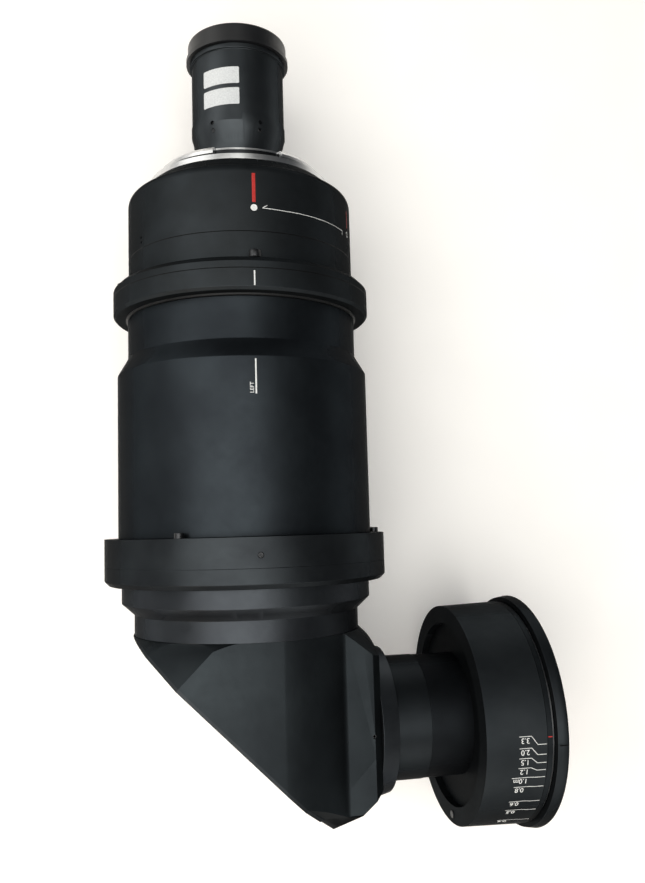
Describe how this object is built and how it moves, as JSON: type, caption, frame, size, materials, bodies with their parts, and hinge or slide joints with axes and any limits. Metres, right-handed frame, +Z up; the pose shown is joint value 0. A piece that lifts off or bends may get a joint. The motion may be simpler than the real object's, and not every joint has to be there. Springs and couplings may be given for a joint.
{
  "type": "projection lens",
  "caption": "Ultra-short-throw projection lens with a bayonet mount, a mirror elbow that turns on the main barrel, and a focus ring on the output barrel.",
  "frame": {"origin": "centre of the bayonet ring's seat, on the main axis", "axes": "+Y along the main axis towards the projector, +X along the output axis towards the screen, +Z up as it lies"},
  "size_m": [0.2522, 0.4908, 0.1658],
  "materials": {
    "black_anodised": "satin black anodised",
    "bare_aluminium": "turned",
    "bright_steel": "bright turned",
    "black_steel": "blackened",
    "brass_nut": "turned",
    "slip_plastic": "matt",
    "cap_plastic": "satin moulded",
    "black_rubber": "matt",
    "mirror_glass": "front-coated",
    "coated_glass": "coated"
  },
  "bodies": {
    "rear_barrel": {"bayonet_ring": "bright_steel", "bayonet_screws": "black_steel", "locating_pin": "bright_steel", "marked_barrel": "black_anodised", "barrel_set_screws": "black_steel", "lower_barrel": "black_anodised", "clamp_ring": "black_anodised", "clamp_screws": "black_steel", "index_flange": "black_anodised", "slip_washer": "slip_plastic", "rear_sleeve": "black_anodised", "sleeve_set_screws": "black_steel", "rear_tube": "black_anodised", "rear_lens": "coated_glass", "rear_lens_ring": "black_anodised", "relay_cell_rear": "black_anodised", "relay_lens_rear": "coated_glass", "relay_ring_rear": "black_anodised"},
    "dust_cap": {"rear_cap": "cap_plastic"},
    "elbow": {"turning_spigot": "bare_aluminium", "spigot_nut": "brass_nut", "body_tube": "black_anodised", "flange_upper": "black_anodised", "flange_lower": "black_anodised", "flange_screws": "black_steel", "flange_set_screw": "black_steel", "relay_cell_front": "black_anodised", "relay_lens_front": "coated_glass", "relay_ring_front": "black_anodised", "mirror_adapter": "black_anodised", "mirror_housing": "black_anodised", "housing_set_screw": "black_steel", "fold_mirror": "mirror_glass", "mirror_pads": "black_rubber", "mirror_cover": "black_anodised", "cover_screws": "black_steel", "output_flange": "black_anodised", "output_flange_screws": "black_steel", "output_neck": "black_anodised", "focus_carrier": "black_anodised", "front_barrel": "black_anodised", "bright_ring": "bare_aluminium", "front_rim": "black_anodised"},
    "focus_grip": {"focus_ring": "black_anodised", "focus_stop_screw": "bright_steel"},
    "front_group": {"front_cell": "black_anodised", "front_lens": "coated_glass", "inner_lens": "coated_glass", "front_lens_ring": "black_anodised", "cam_pins": "bright_steel"}
  },
  "joints": [
    {"name": "elbow_turn", "type": "hinge", "parent": "rear_barrel", "child": "elbow", "pos_m": [0, -0.0845, 0], "axis": [0, -1, 0], "continuous": true},
    {"name": "focus_turn", "type": "hinge", "parent": "elbow", "child": "focus_grip", "pos_m": [0.14, -0.3278, 0], "axis": [-1, 0, 0], "range_deg": [-3, 54]},
    {"name": "front_group_slide", "type": "slide", "parent": "elbow", "child": "front_group", "axis": [1, 0, 0], "range_m": [-0.00022, 0.0038]},
    {"name": "cap_pull", "type": "slide", "parent": "rear_barrel", "child": "dust_cap", "axis": [0, 1, 0], "range_m": [0, 0.03]}
  ],
  "couplings": [
    {"joint": "front_group_slide", "follows": "focus_turn", "m_per_rad": 0.004}
  ]
}
